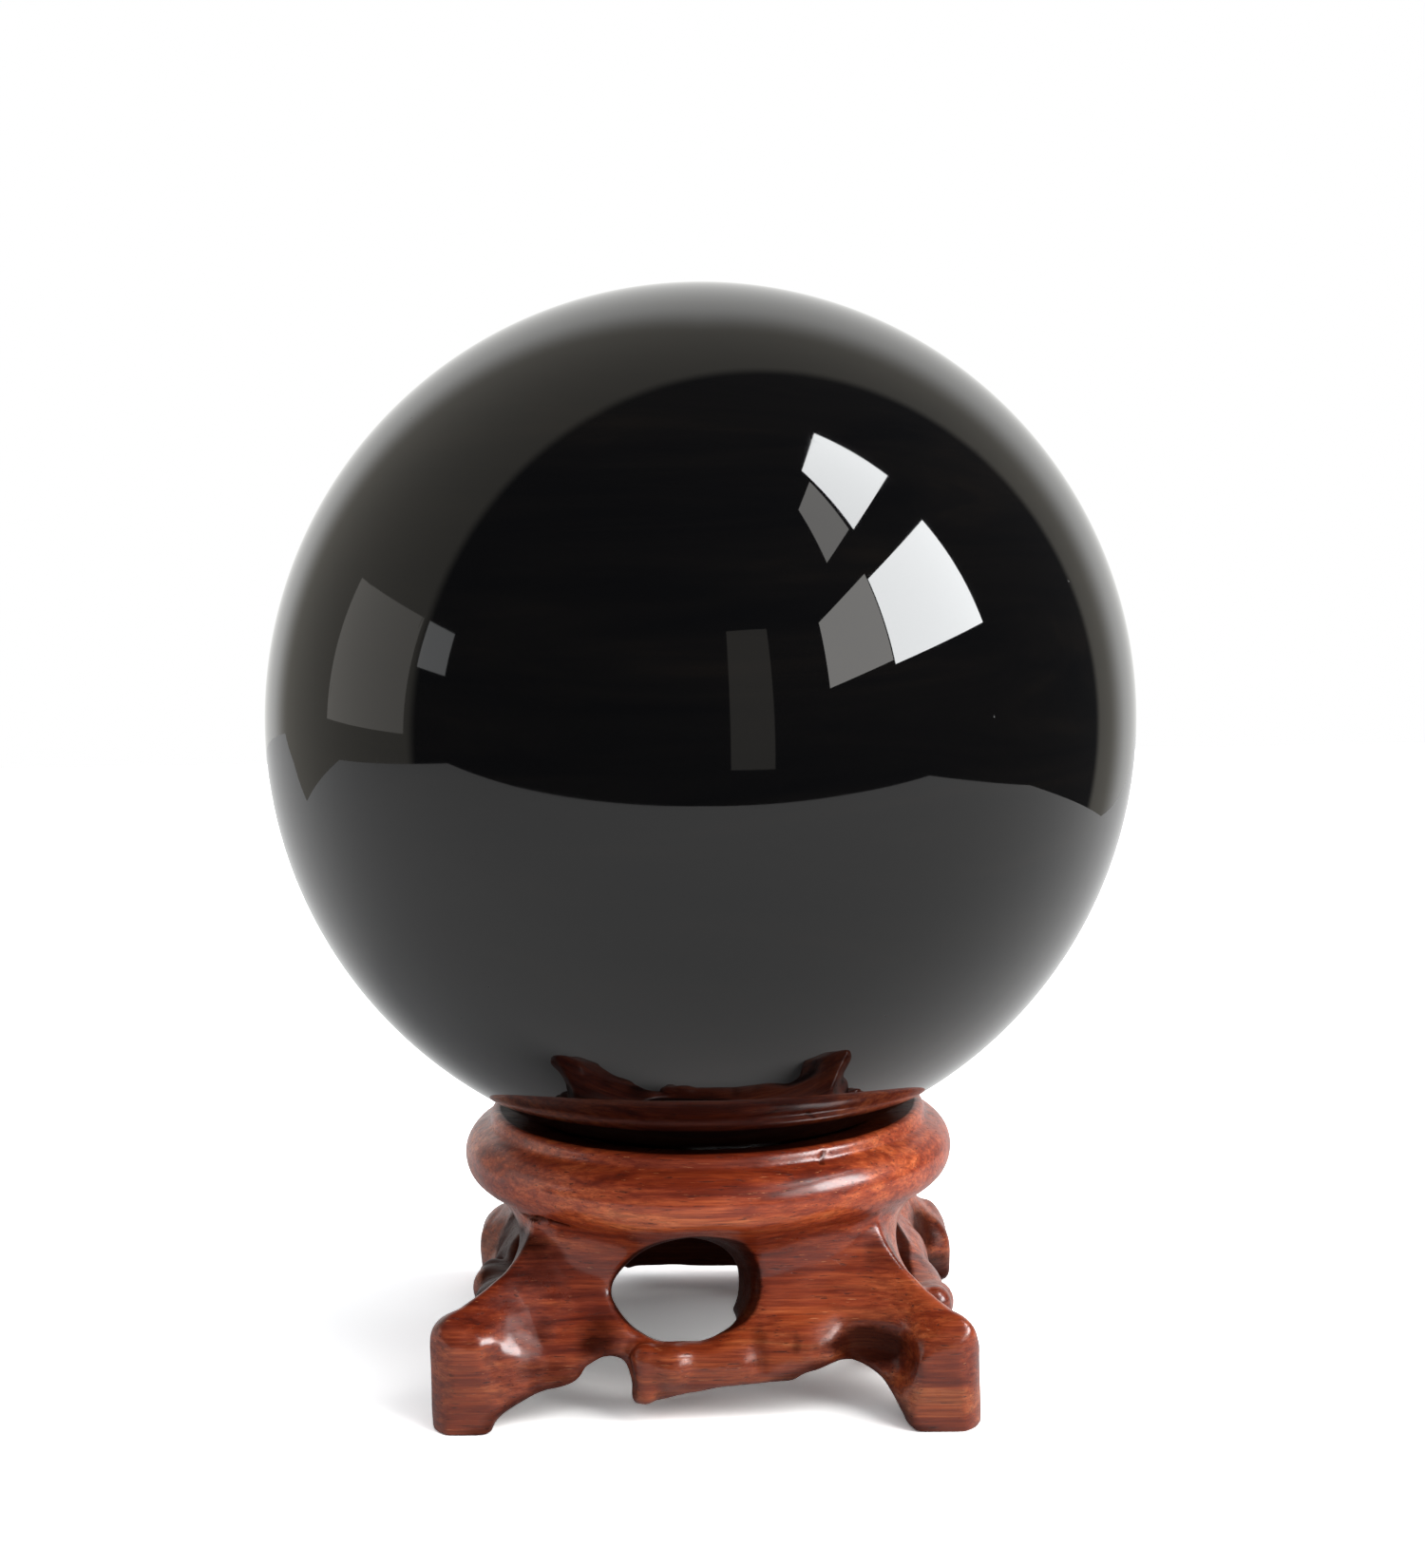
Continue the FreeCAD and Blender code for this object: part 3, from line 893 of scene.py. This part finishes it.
def make_floor():
    """A pale sheet on a table that ends before the camera, so the ball shows its edges."""
    outline = [
        (-0.64, -0.31),
        (-0.29, -0.295),
        (0.0, -0.292),
        (0.18, -0.275),
        (0.36, -0.245),
        (0.34, -0.02),
        (0.225, 0.15),
        (0.26, 0.62),
        (-0.66, 0.62),
        (-0.45, 0.33),
        (-0.30, 0.163),
        (-0.62, 0.127),
    ]
    points = np.array([(x, y, 0) for x, y in outline])
    floor = mesh_object("floor", points, np.arange(len(outline))[None, :])
    floor.data.transform(TURN)
    floor.data.materials.append(paper())


def make_room():
    """White behind for the camera, a soft pale dome of light, and a dim room in reflections."""
    world = bpy.data.worlds.new("studio")
    bpy.context.scene.world = world
    world.use_nodes = True
    n = Nodes(world.node_tree)
    way = n.add("ShaderNodeTexCoord").outputs["Generated"]
    split = n.add("ShaderNodeSeparateXYZ", {"Vector": way})
    behind = n.math("MULTIPLY_ADD", split.outputs["X"], -0.45, split.outputs["Y"])
    wall = n.remap(behind, 0.17, 0.24, 0.0, 1.0, smooth=True)
    aside = n.math("ABSOLUTE", split.outputs["X"])
    straight_behind = n.math("MULTIPLY_ADD", aside, -0.2, split.outputs["Y"])
    paper_wall = n.remap(straight_behind, 0.52, 0.73, 0.0, 1.0, smooth=True)
    dark, warm, white = (0.050, 0.051, 0.054, 1), (0.47, 0.45, 0.40, 1), (1.05, 1.05, 1.03, 1)
    colour = n.mix(wall, dark, warm)
    colour = n.mix(paper_wall, colour, white)
    room = n.add("ShaderNodeBackground", {"Color": colour, "Strength": 1.0})
    dome = n.add("ShaderNodeBackground", {"Color": (0.97, 0.985, 1, 1), "Strength": 0.66})
    plain = n.add("ShaderNodeBackground", {"Color": (1, 1, 1, 1), "Strength": 1.0})
    path = n.add("ShaderNodeLightPath")
    soft = n.add(
        "ShaderNodeMixShader",
        {0: path.outputs["Is Diffuse Ray"], 1: room.outputs[0], 2: dome.outputs[0]},
    )
    both = n.add(
        "ShaderNodeMixShader",
        {0: path.outputs["Is Camera Ray"], 1: soft.outputs[0], 2: plain.outputs[0]},
    )
    n.add("ShaderNodeOutputWorld", {"Surface": both.outputs[0]})
    world.cycles.sampling_method = "NONE"


def add_light(name, towards, near, far, low, high, light, colour):
    """A soft rectangle at a distance of 3 along towards, with its edges in shares of that."""
    away = 3.0
    lamp = bpy.data.lights.new(name, "AREA")
    lamp.shape = "RECTANGLE"
    lamp.size = (far - near) * away
    lamp.size_y = (high - low) * away
    lamp.energy = light * math.pi * lamp.size * lamp.size_y
    lamp.color = colour
    obj = bpy.data.objects.new(name, lamp)
    bpy.context.scene.collection.objects.link(obj)
    look = (-Vector(towards)).to_track_quat("-Z", "Y").to_matrix().to_4x4()
    shift = Matrix.Translation(((near + far) / 2 * away, (low + high) / 2 * away, away))
    obj.matrix_world = TURN @ Matrix.Translation(BALL_CENTRE) @ look @ shift
    obj.visible_camera = False
    return obj


def make_lights():
    """Window panes that show only as reflections, and one broad key light from the same side."""
    right = (1, 0, 0)
    cool = (0.97, 0.99, 1.0)
    panes = [
        add_light("window_low", right, -0.80, -0.155, 0.335, 0.88, 21.0, cool),
        add_light("window_high", right, -0.68, -0.08, 1.26, 2.4, 19.0, cool),
        add_light("window_side", right, -1.15, -0.72, 1.30, 2.15, 3.2, (1.0, 0.98, 0.95)),
        add_light("window_grey", right, -1.55, -0.81, 0.36, 0.93, 4.5, (1.0, 0.98, 0.95)),
    ]
    left = (-1, 0, 0)
    ahead = (0.24, -1, 0)
    panes += [
        add_light("far_doorway", left, -0.36, 0.18, -0.02, 0.40, 0.72, (1.0, 0.97, 0.92)),
        add_light("far_lamp", left, 0.22, 0.40, 0.22, 0.40, 1.7, cool),
        add_light("far_post", ahead, -0.11, 0.08, -0.13, 0.50, 0.42, (1.0, 0.95, 0.86)),
    ]
    for pane in panes:
        pane.visible_diffuse = False
    key = add_light("key", (0.78, -0.28, 0.57), -0.5, 0.5, -0.5, 0.5, 4.4, (1.0, 0.99, 0.97))
    key.visible_glossy = False


def make_camera():
    """Looks at the ball from the front, a little from above and rolled by about a degree."""
    distance, above = 0.309, math.radians(5.6)
    roll = math.radians(-1.0)
    camera = bpy.data.cameras.new("camera")
    camera.sensor_fit = "VERTICAL"
    camera.sensor_height = 36
    camera.lens = 61.1
    camera.shift_x, camera.shift_y = 0.0076, -0.0424
    camera.clip_start = 0.01
    obj = bpy.data.objects.new("camera", camera)
    bpy.context.scene.collection.objects.link(obj)
    away = Vector((0, -math.cos(above), math.sin(above)))
    look = (-away).to_track_quat("-Z", "Y").to_matrix().to_4x4() @ Matrix.Rotation(roll, 4, "Z")
    obj.matrix_world = TURN @ Matrix.Translation(BALL_CENTRE + away * distance) @ look
    bpy.context.scene.camera = obj


# ---------------------------------------------------------------- putting it together


def main():
    scene = bpy.context.scene
    scene.view_settings.view_transform = "Standard"
    make_camera()
    make_room()
    make_lights()
    make_floor()

    stand = make_stand()
    stand.data.materials.append(rosewood())
    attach(stand, "stand")
    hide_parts("stand")

    ball = make_ball()
    ball.data.materials.append(obsidian())
    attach(ball, "ball")
    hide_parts("ball")


main()
